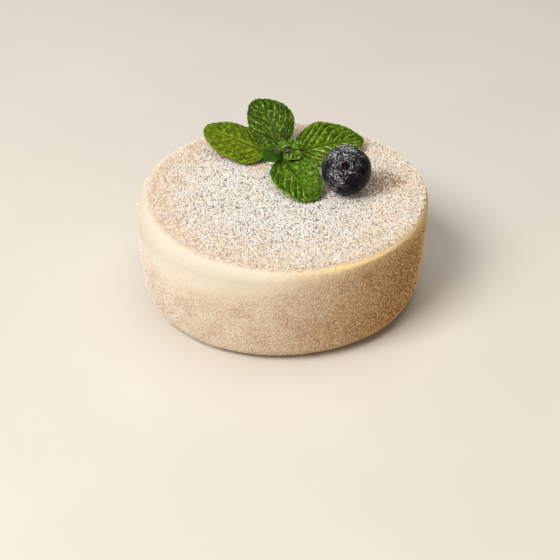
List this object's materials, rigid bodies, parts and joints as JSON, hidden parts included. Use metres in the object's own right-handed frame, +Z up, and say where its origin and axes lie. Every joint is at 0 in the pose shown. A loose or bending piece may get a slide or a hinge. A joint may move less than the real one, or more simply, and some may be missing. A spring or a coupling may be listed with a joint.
{
  "type": "jiggly cheesecake",
  "caption": "Small round souffle-style cheesecake, dusted with sugar and topped with a mint sprig and a blueberry.",
  "frame": {"origin": "on the ground, under the middle of the cake's outline", "axes": "+Z up through the cake, -Y towards the front, +X to the right as seen from the front"},
  "size_m": [0.0822, 0.0818, 0.045],
  "materials": {
    "cheesecake": "soft matt sponge",
    "blueberry": "waxy bloom over a satin skin",
    "mint_stalk": "satin",
    "mint_leaf": "satin",
    "mint_young_leaf": "satin"
  },
  "bodies": {
    "root": {"cheesecake": "cheesecake", "blueberry": "blueberry", "mint_stalk": "mint_stalk", "mint_leaf_left": "mint_leaf", "mint_leaf_right": "mint_leaf", "mint_leaf_back": "mint_leaf", "mint_leaf_front": "mint_leaf", "mint_leaf_side": "mint_young_leaf", "mint_tip_leaf_front": "mint_young_leaf", "mint_tip_leaf_back": "mint_young_leaf"}
  },
  "joints": []
}
